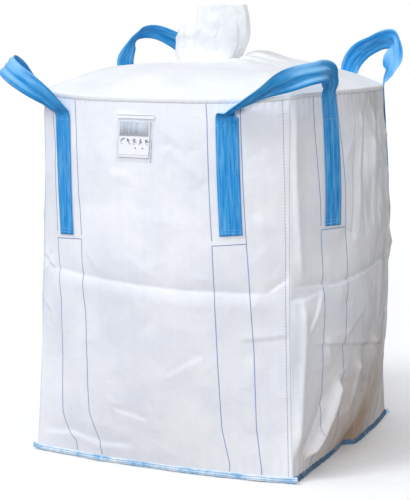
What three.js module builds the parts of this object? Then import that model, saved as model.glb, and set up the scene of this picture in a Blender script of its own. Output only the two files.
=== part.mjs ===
// Four-loop bulk bag (flexible intermediate bulk container) with a filling spout.
// Units are millimetres, +Z is up, -Y is the front and +X the right-hand side.
// The origin is the centre of the bottom panel's underside.

import * as THREE from 'three';

// ---------------------------------------------------------------- dimensions

const BAG_HEIGHT = 1180; // floor to the top seam
const CORNER = { bottom: 452, middle: 429, top: 422 }; // centre plane to corner crease
const BULGE = { bottom: 38, middle: 138, top: 97 }; // how far each side swells past its corners
const CLOTH = 1.6;
const SIDE_THICKNESS = 2.4;
const SIDE_COLUMNS = 15;
const SIDE_ROWS = 12;
const CORNER_GAP = 1.6; // side panels stop short of the corner crease
const SIDE_FOOT = 2.2; // side panels start above the bottom panel
const SEAM_GAP = 2.0; // side panels stop below the top panel

const DOME_HEIGHT = 84;
const DOME_POWER = 3.2;
const DOME_SEGMENTS = 48;
const DOME_RINGS = 6;

const SPOUT_CENTRE = { x: -30, y: 0 };
const SPOUT_HOLE = { x: 99, y: 74 };
const COLLAR_FOOT = { x: 95, y: 70, z: 1265.5 };
const COLLAR_NECK = { x: 92, y: 19, z: 1289 };
const TUBE_NECK = { x: 91, y: 19, z: 1311 };
const TUBE_MIDDLE = { x: 94, y: 42, z: 1372 };
const TUBE_MOUTH = { x: 84, y: 34, z: 1452 };
const SPOUT_LEAN = 38; // the mouth stands this far to the right of the base
const SPOUT_WALL = 2;
const SPOUT_SEGMENTS = 40;
const SPOUT_PLEATS = 7;
const PLEAT_DEPTH = 2.4;

const WEBBING_WIDTH = 70;
const WEBBING = 3;
const WEBBING_OFFSET = 4.2; // panel mid-plane to webbing mid-plane
const LEG_HEAD = 1110; // the webbing leaves the panel here
const LEG_SEAM_HEAD = 1190; // legs that run on up past the top seam
const LEG_STEPS = 8;
const LOOP_STEPS = 44;

const BINDING_HEIGHT = 17;
const BINDING = 4;
const BINDING_OFFSET = 4.6;
const BINDING_FOOT = 0.2;
const BINDING_STEPS = 14;
const EAR_LENGTH = 18;
const EAR_GAP = 9;

const POUCH = { width: 128, height: 132, centre: -38, top: 1104 };
const POUCH_FILM = 0.8;
const POUCH_LAYERS = { back: 5.0, card: 6.3, front: 7.6 }; // off the panel mid-plane
const HEADER = { width: 130, height: 14, thickness: 1.6, foot: 1108, offset: 4.0 };
const CARD = { width: 106, height: 112, inset: 4, drop: 6 };

// --------------------------------------------------------------- materials

const material = (color, roughness) => new THREE.MeshStandardMaterial({ color, roughness, metalness: 0 });
const WHITE_CLOTH = material(0xe4e6ef, 0.62);
const TOP_CLOTH = material(0xf1f3f6, 0.66);
const SPOUT_CLOTH = material(0xeceef1, 0.55);
const BLUE_WEBBING = material(0x2d86cc, 0.7);
const BLUE_BINDING = material(0x9cc4e4, 0.7);
const CLEAR_FILM = material(0xe6ecf2, 0.25);
const CARD_PAPER = material(0xf4f5f7, 0.8);

// ------------------------------------------------------------- bag surface

// Quadratic through a value at the floor, at mid height and at the top seam.
function profile(values, z) {
  const s = z / BAG_HEIGHT;
  const bottom = values.bottom * (1 - s) * (1 - 2 * s);
  const middle = values.middle * 4 * s * (1 - s);
  const top = values.top * s * (2 * s - 1);
  return bottom + middle + top;
}

// Length along a side's bulged edge, from its middle to the slope m = dy/dx.
function edgeLength(corner, bulge, m) {
  return (corner * corner) / (4 * bulge) * (m * Math.hypot(1, m) + Math.asinh(m));
}

// Slope of a side's bulged edge at a length a from its middle.
function edgeSlope(corner, bulge, a) {
  let m = (2 * bulge * a) / (corner * corner);
  for (let i = 0; i < 6; i += 1) {
    const error = edgeLength(corner, bulge, m) - a;
    m -= error / ((corner * corner) / (2 * bulge) * Math.hypot(1, m));
  }
  return m;
}

// A point off one side of the bag: side 0 is the front, 1 right, 2 back, 3 left;
// a is measured along the cloth from the middle of the side, outward from its face.
function onSide(side, a, z, outward) {
  const corner = profile(CORNER, z);
  const bulge = profile(BULGE, z);
  const m = edgeSlope(corner, bulge, a);
  const x = (m * corner * corner) / (2 * bulge);
  const t = x / corner;
  const length = Math.hypot(1, m);
  const point = new THREE.Vector3(x, -(corner + bulge * (1 - t * t)), z);
  point.x += (m / length) * outward;
  point.y -= outward / length;
  return point.applyAxisAngle(new THREE.Vector3(0, 0, 1), (side * Math.PI) / 2);
}

function halfSide(z) {
  const corner = profile(CORNER, z);
  const bulge = profile(BULGE, z);
  return edgeLength(corner, bulge, (2 * bulge) / corner);
}

// Moves every vertex of a geometry through a function of its position.
function bend(geometry, place) {
  const position = geometry.attributes.position;
  const vertex = new THREE.Vector3();
  for (let i = 0; i < position.count; i += 1) {
    vertex.fromBufferAttribute(position, i);
    const moved = place(vertex);
    position.setXYZ(i, moved.x, moved.y, moved.z);
  }
  geometry.computeVertexNormals();
  return geometry;
}

// ------------------------------------------------------------------- pieces

const bag = new THREE.Group();
bag.name = 'bulk_bag';

function add(name, geometry, finish) {
  const mesh = new THREE.Mesh(geometry, finish);
  mesh.name = name;
  bag.add(mesh);
}

// Each side panel is one width of cloth, bulged between two corner creases.
function sidePanel(side) {
  const height = BAG_HEIGHT - SEAM_GAP - SIDE_FOOT;
  const slab = new THREE.BoxGeometry(2, height, SIDE_THICKNESS, SIDE_COLUMNS, SIDE_ROWS, 1);
  return bend(slab, (v) => {
    const z = SIDE_FOOT + height / 2 + v.y;
    return onSide(side, v.x * (halfSide(z) - CORNER_GAP), z, v.z);
  });
}

// The bottom panel is a square whose edges bow out a little.
function bottomPanel() {
  const outline = new THREE.Shape();
  const steps = 10;
  for (let side = 0; side < 4; side += 1) {
    for (let i = 0; i < steps; i += 1) {
      const a = (i / steps * 2 - 1) * halfSide(0);
      const point = onSide(side, a, 0, 0);
      if (side === 0 && i === 0) {
        outline.moveTo(point.x, point.y);
      } else {
        outline.lineTo(point.x, point.y);
      }
    }
  }
  outline.closePath();
  return new THREE.ExtrudeGeometry(outline, { depth: CLOTH, bevelEnabled: false });
}

// Distance from the centre to the top seam in the direction of angle.
function seamRadius(angle) {
  const quarter = Math.round((angle + Math.PI / 2) / (Math.PI / 2));
  const local = angle + Math.PI / 2 - quarter * (Math.PI / 2);
  const { top: corner } = CORNER;
  const { top: bulge } = BULGE;
  const k = Math.tan(local);
  const a = (bulge * k * k) / (corner * corner);
  const depth = (2 * (corner + bulge)) / (1 + Math.sqrt(1 + 4 * a * (corner + bulge)));
  return depth / Math.cos(local);
}

function domeHeight(r) {
  return BAG_HEIGHT + DOME_HEIGHT * (1 - r ** DOME_POWER);
}

// The top panel is a pillow-like dome from the top seam in to the spout hole.
function topPanel() {
  const half = CLOTH / 2;
  const profilePoints = [];
  for (let i = 0; i <= DOME_RINGS; i += 1) {
    profilePoints.push(new THREE.Vector2(1 + i / DOME_RINGS, -half));
  }
  for (let i = DOME_RINGS; i >= 0; i -= 1) {
    profilePoints.push(new THREE.Vector2(1 + i / DOME_RINGS, half));
  }
  profilePoints.push(profilePoints[0].clone());
  const ring = new THREE.LatheGeometry(profilePoints, DOME_SEGMENTS);
  return bend(ring, (v) => {
    const radius = Math.hypot(v.x, v.z);
    const angle = Math.atan2(-v.z, v.x);
    const s = 1 - Math.max(0, 2 - radius) ** 1.6;
    const outer = seamRadius(angle);
    const hole = new THREE.Vector2(SPOUT_HOLE.x * Math.cos(angle), SPOUT_HOLE.y * Math.sin(angle));
    hole.x += SPOUT_CENTRE.x;
    hole.y += SPOUT_CENTRE.y;
    const rim = new THREE.Vector2(outer * Math.cos(angle), outer * Math.sin(angle));
    const x = hole.x + (rim.x - hole.x) * s;
    const y = hole.y + (rim.y - hole.y) * s;
    const r = Math.hypot(x, y) / seamRadius(Math.atan2(y, x));
    return new THREE.Vector3(x, y, domeHeight(Math.min(r, 1)) + v.y);
  });
}

// A stretch of the spout: an open, pleated, flattened tube through a list of rims.
function spoutTube(rims, bands) {
  const foot = rims[0].z;
  const head = rims[rims.length - 1].z;
  const curveX = new THREE.CatmullRomCurve3(rims.map((rim) => new THREE.Vector3(rim.x, rim.y, rim.z)));
  const points = [];
  for (let i = 0; i <= bands; i += 1) {
    points.push(new THREE.Vector2(2, i / bands));
  }
  for (let i = bands; i >= 0; i -= 1) {
    points.push(new THREE.Vector2(1, i / bands));
  }
  points.push(points[0].clone());
  const tube = new THREE.LatheGeometry(points, SPOUT_SEGMENTS);
  return bend(tube, (v) => {
    const inner = Math.hypot(v.x, v.z) < 1.5;
    const angle = Math.atan2(-v.z, v.x);
    const rim = curveX.getPoint(v.y);
    const z = foot + (head - foot) * v.y;
    const rise = (z - COLLAR_NECK.z) / (TUBE_MOUTH.z - COLLAR_NECK.z);
    const pleat = PLEAT_DEPTH * Math.max(0, rise) * Math.cos(SPOUT_PLEATS * angle);
    const shrink = inner ? SPOUT_WALL : 0;
    const x = SPOUT_CENTRE.x + SPOUT_LEAN * Math.max(0, rise) + (rim.x - shrink + pleat) * Math.cos(angle);
    const y = SPOUT_CENTRE.y + (rim.y - shrink + pleat) * Math.sin(angle);
    return new THREE.Vector3(x, y, z);
  });
}

// One edge of the bottom seam, bound in tape. The front and back tapes run on past
// the corners as ears, and the other two stop short of them.
function bottomBinding(side) {
  const half = halfSide(0) + (side % 2 === 0 ? EAR_LENGTH : -EAR_GAP);
  const tape = new THREE.BoxGeometry(2 * half, BINDING_HEIGHT, BINDING, BINDING_STEPS, 1, 1);
  return bend(tape, (v) => {
    const z = BINDING_FOOT + BINDING_HEIGHT / 2 + v.y;
    return onSide(side, v.x, z, BINDING_OFFSET + v.z);
  });
}

// A sewn leg of webbing: the middle of the webbing at its foot and at its head, and
// the heights it runs between.
function sewnLeg(side, foot, head, bottom, top) {
  const height = top - bottom;
  const strip = new THREE.BoxGeometry(WEBBING_WIDTH, height, WEBBING, 2, LEG_STEPS, 1);
  return bend(strip, (v) => {
    const z = bottom + height / 2 + v.y;
    const drift = (head - foot) * (z - bottom) / (LEG_HEAD - bottom);
    return onSide(side, foot + drift + v.x, z, WEBBING_OFFSET + v.z);
  });
}

// The free part of a loop. Rows hold [u, v, w, eu, ev, ew]: the webbing's middle,
// then the direction of the edge nearer the bag's corner. u runs from the leg on the
// front or back panel to the leg on the left or right panel, v points out across the
// corner and w is the height above LEG_HEAD.
function loopFrame(loop) {
  const from = onSide(loop.endSide, loop.endHead, LEG_HEAD, WEBBING_OFFSET);
  const to = onSide(loop.flankSide, loop.flankHead, LEG_HEAD, WEBBING_OFFSET);
  const u = to.clone().sub(from);
  const halfChord = u.length() / 2;
  u.normalize();
  const v = new THREE.Vector3(u.y, -u.x, 0);
  if (v.dot(from) < 0) {
    v.negate();
  }
  const middle = from.clone().add(to).multiplyScalar(0.5);
  return { middle, u, v, halfChord };
}

function loopStrap(loop) {
  const { middle, u, v, halfChord } = loopFrame(loop);
  const w = new THREE.Vector3(0, 0, 1);
  const local = (a, b, c) => new THREE.Vector3()
    .addScaledVector(u, a)
    .addScaledVector(v, b)
    .addScaledVector(w, c);
  const last = loop.rows.length - 1;
  const centres = loop.rows.map((row, i) => {
    let along = row[0];
    if (i === 0) {
      along = -halfChord;
    } else if (i === last) {
      along = halfChord;
    }
    return local(along, row[1], row[2]).add(middle);
  });
  const edges = loop.rows.map((row) => local(row[3], row[4], row[5]).normalize());
  const centreLine = new THREE.CatmullRomCurve3(centres, false, 'catmullrom', 0.5);
  const edgeLine = new THREE.CatmullRomCurve3(edges, false, 'catmullrom', 0.5);
  const strip = new THREE.BoxGeometry(WEBBING_WIDTH, 1, WEBBING, 1, LOOP_STEPS, 1);
  return bend(strip, (p) => {
    const t = p.y + 0.5;
    const along = centreLine.getTangent(t);
    const edge = edgeLine.getPoint(t);
    edge.addScaledVector(along, -edge.dot(along)).normalize();
    const face = new THREE.Vector3().crossVectors(edge, along);
    return centreLine.getPoint(t).addScaledVector(edge, p.x).addScaledVector(face, p.z);
  });
}

// ------------------------------------------------------------------- loops

const LOOPS = [
  {
    name: 'loop_front_right',
    ends: ['front', 'right'],
    endSide: 0,
    endFoot: 277,
    endHead: 252,
    endBottom: 761,
    endTop: LEG_HEAD,
    flankSide: 1,
    flankFoot: -284,
    flankHead: -268,
    flankBottom: 778,
    flankTop: LEG_SEAM_HEAD,
    rows: [
      [0, 2, 17, 0.892, 0.453, 0],
      [-172, 15, 29, 0.89, 0.45, 0.05],
      [-160, 47, 42, 0.9, 0.25, 0.12],
      [-132, 76, 56, 0.85, -0.3, 0.02],
      [-90, 90, 78, 0.6, -0.68, -0.35],
      [-34, 97, 106, 0.26, -0.3, -0.87],
      [34, 100, 128, 0.05, 0.35, -0.94],
      [92, 88, 138, 0, 0.5, -0.87],
      [136, 58, 139, -0.05, 0.45, -0.9],
      [158, 30, 130, -0.6, 0.4, -0.6],
      [168, 10, 114, -0.85, 0.5, -0.2],
      [0, 1, 97, -0.892, 0.453, 0],
    ],
  },
  {
    name: 'loop_front_left',
    ends: ['front', 'left'],
    endSide: 0,
    endFoot: -314,
    endHead: -338,
    endBottom: 731,
    endTop: LEG_HEAD,
    flankSide: 3,
    flankFoot: 285,
    flankHead: 285,
    flankBottom: 745,
    flankTop: LEG_HEAD,
    rows: [
      [0, 2, 17, 0.88, 0.47, 0],
      [-131, 20, 28, 0.86, 0.33, -0.35],
      [-122, 42, 46, 0.78, 0.35, -0.55],
      [-105, 70, 68, 0.6, 0.5, -0.62],
      [-72, 110, 98, 0.3, 0.6, -0.75],
      [-35, 142, 126, 0.1, 0.65, -0.75],
      [20, 156, 150, 0, 0.65, -0.75],
      [76, 130, 148, 0, 0.6, -0.8],
      [110, 72, 104, -0.5, 0.48, -0.68],
      [120, 30, 54, -0.75, 0.5, -0.35],
      [0, 2, 17, -0.892, 0.453, 0],
    ],
  },
  {
    name: 'loop_back_left',
    ends: ['back', 'left'],
    endSide: 2,
    endFoot: 285,
    endHead: 285,
    endBottom: 745,
    endTop: LEG_SEAM_HEAD,
    flankSide: 3,
    flankFoot: -285,
    flankHead: -285,
    flankBottom: 745,
    flankTop: LEG_SEAM_HEAD,
    rows: [
      [0, 0, 98, 0.892, 0.453, 0],
      [-146, 2, 118, 0.88, 0.46, -0.1],
      [-126, 16, 152, 0.68, 0.5, -0.5],
      [-80, 28, 196, 0.3, 0.6, -0.72],
      [-24, 30, 230, 0.05, 0.7, -0.7],
      [34, 30, 248, 0, 0.75, -0.65],
      [86, 22, 246, -0.05, 0.8, -0.6],
      [113, 10, 230, -0.25, 0.85, -0.38],
      [135, 1, 200, -0.65, 0.65, -0.2],
      [158, 0, 145, -0.92, 0.25, 0],
      [0, 0, 98, -0.892, 0.453, 0],
    ],
  },
  {
    name: 'loop_back_right',
    ends: ['back', 'right'],
    endSide: 2,
    endFoot: -285,
    endHead: -285,
    endBottom: 745,
    endTop: LEG_SEAM_HEAD,
    flankSide: 1,
    flankFoot: 295,
    flankHead: 295,
    flankBottom: 745,
    flankTop: LEG_SEAM_HEAD,
    rows: [
      [0, 0, 98, 0.892, 0.453, 0],
      [-147, 2, 118, 0.86, 0.48, -0.1],
      [-126, 10, 148, 0.4, 0.55, -0.6],
      [-82, 25, 186, -0.25, 0.45, -0.78],
      [-20, 45, 212, -0.66, 0.3, -0.67],
      [35, 55, 225, -0.68, 0.2, -0.65],
      [85, 55, 225, -0.5, 0.1, -0.8],
      [122, 38, 203, -0.45, -0.4, -0.75],
      [140, 18, 155, -0.6, -0.72, -0.12],
      [148, 4, 118, -0.88, -0.1, 0],
      [0, 0, 98, -0.892, 0.25, 0],
    ],
  },
];

// ------------------------------------------------------------------- pouch

// Frame of the document pouch: across, down the slope of the panel, and outward.
function pouchFrame() {
  const head = onSide(0, POUCH.centre, POUCH.top, 0);
  const foot = onSide(0, POUCH.centre, POUCH.top - POUCH.height, 0);
  const beside = onSide(0, POUCH.centre + 1, POUCH.top, 0);
  const across = beside.sub(head).normalize();
  const up = head.clone().sub(foot);
  up.addScaledVector(across, -up.dot(across)).normalize();
  const outward = new THREE.Vector3().crossVectors(across, up);
  const turn = new THREE.Matrix4().makeBasis(across, up, outward);
  return { head, turn };
}

// A flat sheet in the pouch frame: its middle is x across and y below the pouch's top.
function pouchSheet(width, height, x, y, layer) {
  const { head, turn } = pouchFrame();
  const sheet = new THREE.BoxGeometry(width, height, POUCH_FILM);
  sheet.translate(x, -y, layer);
  sheet.applyMatrix4(turn);
  sheet.translate(head.x, head.y, head.z);
  return sheet;
}

function pouchHeader() {
  const { width, height, thickness, foot, offset } = HEADER;
  const strip = new THREE.BoxGeometry(width, height, thickness, 4, 1, 1);
  return bend(strip, (v) => onSide(0, POUCH.centre + v.x, foot + height / 2 + v.y, offset + v.z));
}

// ---------------------------------------------------------------- assembly

const SIDES = ['front', 'right', 'back', 'left'];

add('bottom_panel', bottomPanel(), WHITE_CLOTH);
SIDES.forEach((name, side) => {
  add(`${name}_panel`, sidePanel(side), WHITE_CLOTH);
  add(`bottom_binding_${name}`, bottomBinding(side), BLUE_BINDING);
});
add('top_panel', topPanel(), TOP_CLOTH);
add('spout_collar', spoutTube([COLLAR_FOOT, COLLAR_NECK], 2), SPOUT_CLOTH);
add('spout_tube', spoutTube([TUBE_NECK, TUBE_MIDDLE, TUBE_MOUTH], 5), SPOUT_CLOTH);

LOOPS.forEach((loop) => {
  const [end, flank] = loop.ends;
  add(
    `${loop.name}_leg_${end}`,
    sewnLeg(loop.endSide, loop.endFoot, loop.endHead, loop.endBottom, loop.endTop),
    BLUE_WEBBING,
  );
  add(
    `${loop.name}_leg_${flank}`,
    sewnLeg(loop.flankSide, loop.flankFoot, loop.flankHead, loop.flankBottom, loop.flankTop),
    BLUE_WEBBING,
  );
  add(`${loop.name}_strap`, loopStrap(loop), BLUE_WEBBING);
});

add('pouch_header', pouchHeader(), CLEAR_FILM);
add(
  'pouch_back_film',
  pouchSheet(POUCH.width, POUCH.height, 0, POUCH.height / 2, POUCH_LAYERS.back),
  CLEAR_FILM,
);
add(
  'label_card',
  pouchSheet(
    CARD.width,
    CARD.height,
    CARD.inset - (POUCH.width - CARD.width) / 2,
    CARD.drop + CARD.height / 2,
    POUCH_LAYERS.card,
  ),
  CARD_PAPER,
);
add(
  'pouch_front_film',
  pouchSheet(POUCH.width, POUCH.height, 0, POUCH.height / 2, POUCH_LAYERS.front),
  CLEAR_FILM,
);

export default bag;
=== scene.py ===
"""A filled bulk bag: woven cloth body, cross-corner lifting loops, filling spout and pouch.

Every cloth piece is a fine grid laid over the bag's own surface. relief() adds folds and
creases to that surface, and whatever is sewn on the cloth follows the same relief.
Lengths are metres. A place on a side panel is (a, z): a is the length of cloth from the
panel's middle line, to the right as it is looked at from outside, and z is the height.
"""

import math

import bpy
import numpy as np
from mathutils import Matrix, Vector


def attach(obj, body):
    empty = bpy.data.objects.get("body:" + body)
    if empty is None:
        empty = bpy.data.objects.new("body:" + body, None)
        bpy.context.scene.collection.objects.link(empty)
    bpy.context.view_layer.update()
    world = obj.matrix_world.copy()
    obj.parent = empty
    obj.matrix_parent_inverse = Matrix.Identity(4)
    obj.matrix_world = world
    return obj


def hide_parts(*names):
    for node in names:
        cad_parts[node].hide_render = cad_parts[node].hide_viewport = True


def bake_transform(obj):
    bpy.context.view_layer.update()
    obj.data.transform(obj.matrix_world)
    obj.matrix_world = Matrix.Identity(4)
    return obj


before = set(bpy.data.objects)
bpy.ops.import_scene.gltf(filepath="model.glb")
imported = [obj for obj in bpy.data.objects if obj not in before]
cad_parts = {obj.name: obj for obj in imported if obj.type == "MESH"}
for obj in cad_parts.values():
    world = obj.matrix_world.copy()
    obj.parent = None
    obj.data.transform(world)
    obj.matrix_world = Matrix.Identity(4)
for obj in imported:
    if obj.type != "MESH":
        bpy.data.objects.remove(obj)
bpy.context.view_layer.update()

# ---- driving sizes

HEIGHT = 1.18  # floor to top seam
CORNER = (0.452, 0.429, 0.422)  # half distance between corners: floor, middle, top
BULGE = (0.038, 0.138, 0.097)  # how far each side bows out: floor, middle, top
FRONT, RIGHT, BACK, LEFT = range(4)
SIDE_NAMES = ("front", "right", "back", "left")

DOME = 0.084  # rise of the top panel above its seam
DOME_POWER = 3.2
SPOUT_X = -0.03
HOLE = (0.099, 0.074)  # half width and half depth of the hole under the spout
POUCH_MIDDLE = -0.038
POUCH_TOP = 1.104

WEBBING_WIDTH = 0.07
WEBBING = 0.0026  # thickness
CLOTH = 0.0009  # thickness
LEG_HEAD = 1.11  # height at which a strap leaves the panel
UP = np.array([0.0, 0.0, 1.0])
QUARTER = math.pi / 2


def smooth(x):
    x = np.clip(x, 0.0, 1.0)
    return x * x * (3 - 2 * x)


def unit(v):
    """The vectors of v, each brought to length one."""
    return v / np.linalg.norm(v, axis=-1, keepdims=True)


def places(flat):
    """Rows of (a, z) in metres from one flat row in mm."""
    return np.reshape(flat, (-1, 2)) / 1000


# ---- bag surface


def profile(values, z):
    """Quadratic through a value at the floor, at mid height and at the top seam."""
    s = z / HEIGHT
    low, middle, high = values
    return low * (1 - s) * (1 - 2 * s) + middle * 4 * s * (1 - s) + high * s * (2 * s - 1)


def cloth_length(corner, bulge, slope):
    return corner**2 / (4 * bulge) * (slope * np.hypot(1, slope) + np.arcsinh(slope))


def slope_at(corner, bulge, a):
    """Slope of the bowed side where the cloth length from its middle is a."""
    slope = 2 * bulge * a / corner**2
    for _ in range(6):
        error = cloth_length(corner, bulge, slope) - a
        slope = slope - error / (corner**2 / (2 * bulge) * np.hypot(1, slope))
    return slope


def half_side(z):
    corner, bulge = profile(CORNER, z), profile(BULGE, z)
    return cloth_length(corner, bulge, 2 * bulge / corner)


def turn(side, x, y):
    c, s = ((1, 0), (0, 1), (-1, 0), (0, -1))[side]
    return x * c - y * s, x * s + y * c


def bare_side(side, a, z):
    """Points of a side before any fold, and the outward direction there."""
    corner, bulge = profile(CORNER, z), profile(BULGE, z)
    slope = slope_at(corner, bulge, a)
    x = slope * corner**2 / (2 * bulge)
    y = -(corner + bulge * (1 - (x / corner) ** 2))
    length = np.hypot(1, slope)
    px, py = turn(side, x, y)
    nx, ny = turn(side, slope / length, -1 / length)
    return np.stack([px, py, z + 0 * px], -1), np.stack([nx, ny, 0 * nx], -1)


# ---- folds


def crease(a, z, line, above, below, reach_above, reach_below, soft):
    """Relief of one fold along a line of (a, z) points.

    above and below are how far the cloth stands in or out on the two sides of the
    line, and fade over reach_above and reach_below. The fold dies out at its ends.
    """
    best = np.full(a.shape, 1e9)
    offset = np.zeros(a.shape)
    along = np.zeros(a.shape)
    steps = np.linalg.norm(np.diff(line, axis=0), axis=1)
    total = steps.sum()
    run = 0.0
    for (a0, z0), (a1, z1), length in zip(line[:-1], line[1:], steps):
        da, dz = (a1 - a0) / length, (z1 - z0) / length
        t = np.clip((a - a0) * da + (z - z0) * dz, 0, length)
        distance = np.hypot(a - a0 - t * da, z - z0 - t * dz)
        closer = distance < best
        side = (z - z0) * da - (a - a0) * dz
        best = np.where(closer, distance, best)
        offset = np.where(closer, np.sign(side) * distance, offset)
        along = np.where(closer, (run + t) / total, along)
        run += length
    rounded = np.sqrt(best**2 + soft**2) - soft
    share = 0.5 * (1 + np.tanh(offset / soft))
    relief = share * above * np.exp(-rounded / reach_above)
    relief += (1 - share) * below * np.exp(-rounded / reach_below)
    return relief * smooth(along * 6) * smooth((1 - along) * 6)


def crumple(a, z, seed, count, size, height, upright, box):
    """Many small random folds, as thin coated cloth has after it has been handled."""
    draw = np.random.default_rng(seed)
    relief = np.zeros(a.shape)
    for _ in range(count):
        ca = draw.uniform(box[0], box[1])
        cz = draw.uniform(box[2], box[3])
        angle = draw.normal(math.pi / 2, 0.5) if draw.random() < upright else draw.uniform(0, math.pi)
        half = size * draw.uniform(0.4, 1.3) / 2
        reach = draw.uniform(0.1, 0.24) * 2 * half
        tall = height * draw.normal(0, 1)
        da, dz = math.cos(angle), math.sin(angle)
        t = (a - ca) * da + (z - cz) * dz
        v = (z - cz) * da - (a - ca) * dz
        fade = np.clip(1 - (t / half) ** 2, 0, 1) ** 1.5
        relief += tall * fade * np.exp(-np.abs(v) / reach)
    return relief


def swell(a, z, seed, wave, height):
    """Slow waves in the cloth."""
    draw = np.random.default_rng(seed)
    relief = np.zeros(a.shape)
    for _ in range(7):
        angle = draw.uniform(0, math.pi)
        k = 2 * math.pi / (wave * draw.uniform(0.7, 1.5))
        phase = draw.uniform(0, 2 * math.pi)
        relief += np.sin(k * (a * math.cos(angle) + z * math.sin(angle)) + phase)
    return relief * height / 2.6


# Folds of each side, in mm: the places (a, z) of the line one after another, then how far
# the cloth stands out above and below it, the reach of each, and how soft the fold is.
# On a line that runs downward, above is the side of larger a.
FOLDS = {}
FOLDS[FRONT] = (
    ((-461, 610, -344, 616, -159, 606, 0, 598, 122, 590, 245, 588, 386, 582, 470, 578),
     -6, -4.8, 20, 10, 1.4),
    ((-460, 580, -300, 586, -120, 574, 80, 560, 220, 556, 340, 553, 460, 548), 3, 4.2, 22, 60, 12),
    ((386, 582, 426, 609, 475, 640), -6, -2, 16, 16, 3),
    ((-460, 660, -430, 637, -385, 613), 6, -4, 12, 12, 3),
    ((-460, 600, -430, 628, -400, 660), -5, 3, 12, 12, 3),
    ((-450, 500, -410, 470, -400, 420), 3, -2, 12, 12, 5),
    ((-140, 192, -80, 178, 0, 160), -3.5, 1, 18, 20, 6),
    ((60, 310, 120, 350, 200, 392), -1.8, 1.8, 20, 20, 8),
    ((300, 440, 380, 446, 460, 456), 3, -1.5, 14, 20, 6),
    ((-440, 65, -300, 82, -180, 60, -50, 70), -4, 2, 30, 20, 8),
    ((0, 1120, 80, 1062, 150, 1000), 2.2, 2.2, 12, 12, 6),
    ((30, 1040, 100, 1024, 170, 1008), -2, -2, 12, 14, 6),
    ((60, 1030, 130, 976, 200, 915), 2, 2, 16, 16, 7),
    ((-300, 800, -160, 830, 20, 820, 160, 800), -2.2, 0, 50, 50, 20),
)
FOLDS[RIGHT] = (
    ((-436, 1178, -431, 896, -424, 684, -412, 590), 13, 13, 34, 14, 1.4),
    ((-460, 600, -329, 598, -297, 591, -200, 598, -112, 612, 20, 635, 200, 625), -12, -1, 14, 34, 1),
    ((-331, 590, -360, 520, -396, 455), 5, -3, 24, 20, 2),
    ((-495, 560, -412, 561, -331, 579), -4, 2, 14, 22, 2),
    ((-416, 590, -412, 500, -410, 445, -412, 370, -430, 190, -446, 60), 22, 22, 70, 20, 1.4),
    ((-391, 422, -232, 399, 52, 350, 200, 335), 5.5, -3.5, 18, 22, 2),
    ((-228, 405, -160, 452, -86, 494), 6, -4, 30, 22, 3),
    ((0, 400, 30, 300, 68, 180), 12, 12, 12, 14, 2.5),
    ((-60, 390, -45, 270, -10, 160), -12, -12, 16, 16, 3),
    ((90, 560, 110, 440, 150, 300), -10, -10, 16, 16, 3),
    ((-235, 300, -255, 245, -302, 139, -380, 52), 36, 36, 16, 10, 1.8),
    ((-205, 290, -222, 150, -262, 60), -26, -20, 24, 12, 3),
    ((-305, 260, -350, 165, -410, 70), -8, -8, 16, 22, 3),
    ((-110, 330, -120, 230, -150, 130), 10, 10, 14, 14, 3),
    ((-225, 1160, -240, 1000, -225, 820, -232, 660), -3, -3, 20, 20, 8),
    ((-120, 1150, -172, 950, -190, 720), -8, 4, 14, 18, 3),
    ((-78, 1130, -140, 940, -150, 760), 8.5, 8.5, 11, 11, 2.5),
    ((-30, 1150, -98, 935, -112, 690), -11, -11, 12, 12, 2.5),
    ((40, 1140, -45, 950, -60, 700), 10, 10, 11, 12, 2.5),
    ((120, 1150, 20, 925, -10, 700), -12, -12, 12, 12, 2.5),
    ((200, 1130, 100, 900, 70, 660), 9, 9, 14, 14, 3),
    ((280, 1140, 240, 900, 250, 660), -6, -6, 20, 20, 4),
)
FOLDS[BACK] = (
    ((-440, 600, -200, 615, 100, 600, 300, 610, 440, 590), -7, -7, 22, 16, 3),
    ((-440, 575, -200, 590, 100, 575, 300, 585, 440, 565), 4, 6, 12, 60, 5),
    ((-300, 400, -50, 430, 220, 400), -4, 3, 20, 25, 4),
    ((200, 300, 280, 180, 340, 60), 10, 10, 30, 30, 4),
    ((-300, 260, -360, 120, -400, 50), 8, 8, 20, 30, 4),
    ((-100, 1120, -60, 960, -90, 800), 4, -4, 20, 20, 4),
    ((300, 1140, 260, 960, 290, 740), -6, -6, 15, 15, 4),
    ((360, 1140, 340, 920, 360, 700), 6, 6, 14, 14, 4),
)
FOLDS[LEFT] = (
    ((-440, 590, -180, 600, 120, 618, 440, 614), -7, -7, 22, 16, 3),
    ((-440, 565, -180, 575, 120, 593, 440, 590), 4, 6, 12, 60, 5),
    ((-220, 360, 20, 340, 260, 370), -4, 3, 20, 25, 4),
    ((-200, 280, -290, 170, -350, 50), 9, 9, 30, 30, 4),
    ((20, 1120, 50, 980, 10, 820), -4, 4, 20, 20, 4),
    ((-340, 1140, -310, 940, -340, 720), -6, -6, 15, 15, 4),
    ((-270, 1120, -240, 920, -260, 760), 5, 5, 14, 14, 4),
)
# How far the foot of each side is tucked in at its middle.
FOOT_TUCK = (0.006, 0.0, 0.014, 0.014)
# The foot of the right-hand panel is pleated inward: place along the side and depth, in mm.
FOOT_PLEAT = (-420, 0, -250, 26, -120, 40, -5, 50, 15, 48, 42, 14, 280, 10, 440, 0)
# How far the top seam rises at the middle of each side; below zero it sags.
SEAM_RISE = (-0.013, 0.008, -0.006, -0.006)
# Middle of the two webbing legs sewn to each side; they hold the cloth flat.
LEG_MIDDLES = ((0.265, -0.326), (-0.276, 0.323), (0.285, -0.285), (0.285, -0.285))


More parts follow.
